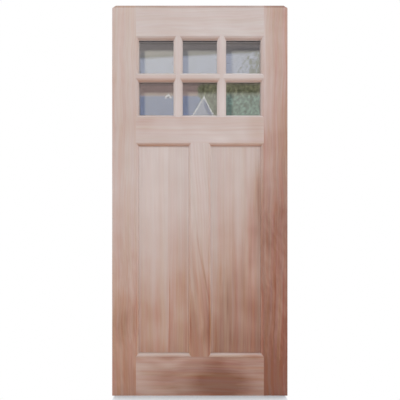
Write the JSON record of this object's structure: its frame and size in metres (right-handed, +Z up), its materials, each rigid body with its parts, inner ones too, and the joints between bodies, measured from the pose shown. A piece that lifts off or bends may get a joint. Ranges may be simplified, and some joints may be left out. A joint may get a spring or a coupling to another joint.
{
  "type": "glazed front door leaf",
  "caption": "Stile-and-rail entry door leaf in bare wood, with small divided lites over tall flat panels, ready to be bored and hung.",
  "frame": {"origin": "foot of the hinge edge, in the middle of the leaf's thickness", "axes": "+X from the hinge edge to the latch edge, -Y out of the outer face, +Z up"},
  "size_m": [0.9144, 0.0444, 2.032],
  "materials": {
    "stile_wood": "bare, sanded",
    "rail_wood": "bare, sanded",
    "panel_wood": "bare, sanded",
    "bar_wood": "bare, sanded",
    "glass": "clear float glass",
    "spacer": "mill"
  },
  "bodies": {
    "root": {"hinge_stile": "stile_wood", "latch_stile": "stile_wood", "top_rail": "rail_wood", "lock_rail": "rail_wood", "bottom_rail": "rail_wood", "mullion": "stile_wood", "left_panel": "panel_wood", "right_panel": "panel_wood", "left_glazing_bar": "bar_wood", "right_glazing_bar": "bar_wood", "cross_bar_left": "bar_wood", "cross_bar_middle": "bar_wood", "cross_bar_right": "bar_wood", "outer_pane_lower_left": "glass", "inner_pane_lower_left": "glass", "spacer_lower_left": "spacer", "glazing_beads_lower_left": "bar_wood", "outer_pane_lower_middle": "glass", "inner_pane_lower_middle": "glass", "spacer_lower_middle": "spacer", "glazing_beads_lower_middle": "bar_wood", "outer_pane_lower_right": "glass", "inner_pane_lower_right": "glass", "spacer_lower_right": "spacer", "glazing_beads_lower_right": "bar_wood", "outer_pane_upper_left": "glass", "inner_pane_upper_left": "glass", "spacer_upper_left": "spacer", "glazing_beads_upper_left": "bar_wood", "outer_pane_upper_middle": "glass", "inner_pane_upper_middle": "glass", "spacer_upper_middle": "spacer", "glazing_beads_upper_middle": "bar_wood", "outer_pane_upper_right": "glass", "inner_pane_upper_right": "glass", "spacer_upper_right": "spacer", "glazing_beads_upper_right": "bar_wood"}
  },
  "joints": []
}
